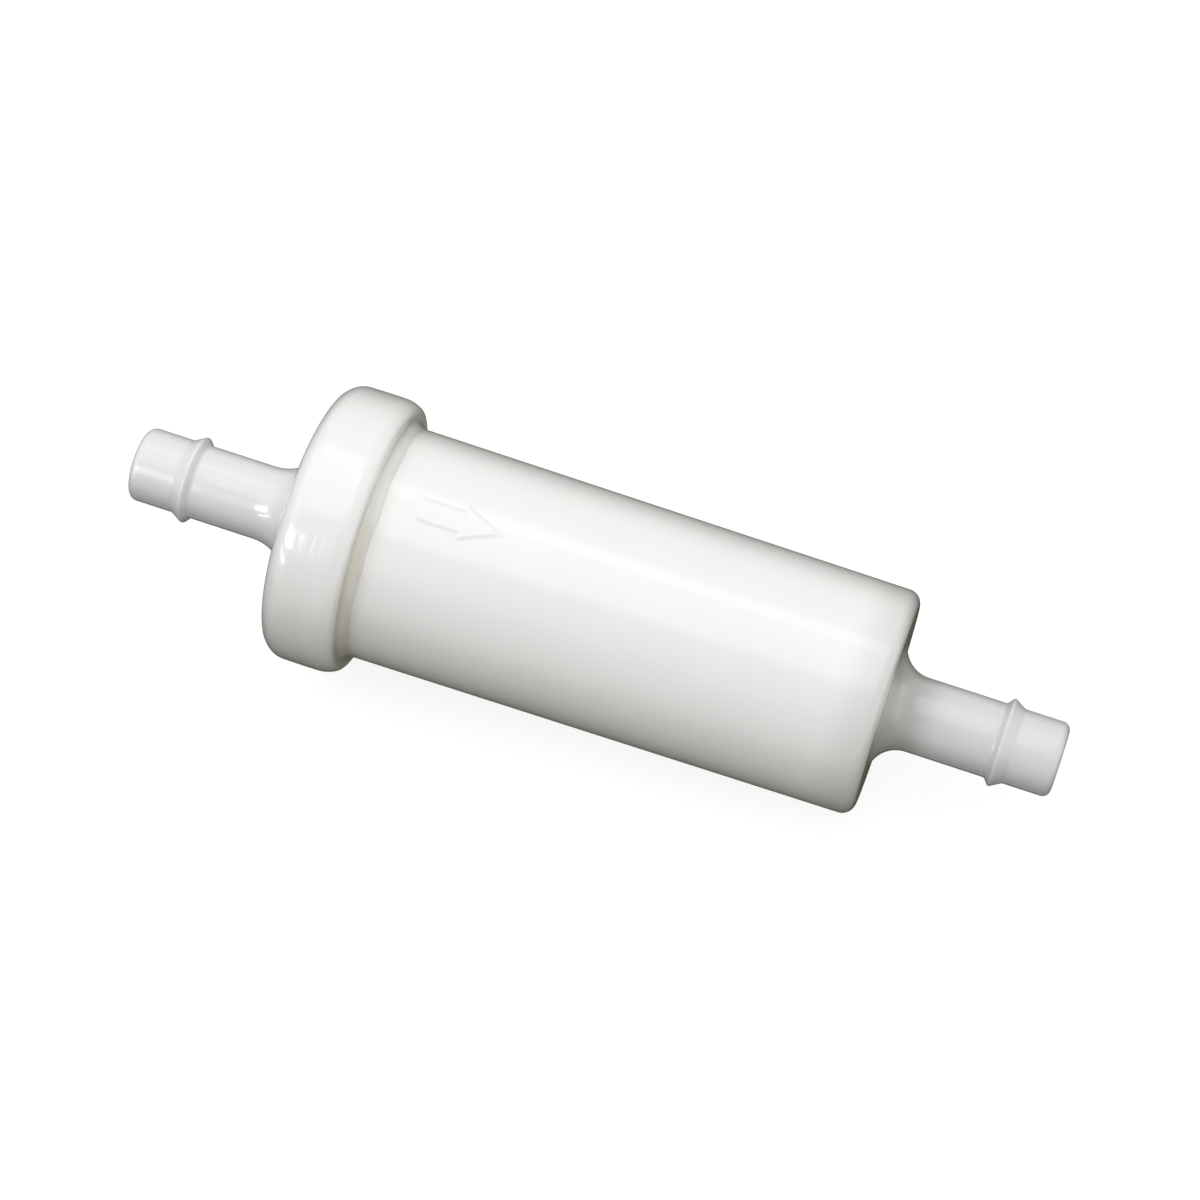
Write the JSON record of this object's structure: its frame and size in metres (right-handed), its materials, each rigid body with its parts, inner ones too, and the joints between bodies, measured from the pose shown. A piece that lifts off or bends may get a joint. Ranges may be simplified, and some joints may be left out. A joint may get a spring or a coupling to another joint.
{
  "type": "fuel filter",
  "caption": "Inline fuel filter: round moulded canister with a wide welded collar cap, a hose barb at each end and a pleated paper cartridge inside.",
  "frame": {"origin": "on the filter's axis, midway between the tips of the two barbs", "axes": "+X along the filter's axis in the direction of flow, so the inlet barb points to -X and the outlet barb to +X; +Z through the raised flow arrow"},
  "size_m": [0.1026, 0.0304, 0.0304],
  "materials": {
    "housing": "glossy milky white, slightly translucent",
    "weld": "remelted, slightly yellowed",
    "cartridge_plastic": "satin",
    "filter_paper": "matt, resin treated",
    "adhesive": "cast, satin",
    "seal": "matt"
  },
  "bodies": {
    "root": {"inlet_cap": "housing", "canister": "housing", "weld_bead": "weld", "inlet_end_disc": "cartridge_plastic", "outlet_end_disc": "cartridge_plastic", "outlet_seal_ring": "seal", "core_tube": "cartridge_plastic", "pleated_paper": "filter_paper", "side_seam": "adhesive", "inlet_potting": "adhesive", "outlet_potting": "adhesive"}
  },
  "joints": []
}
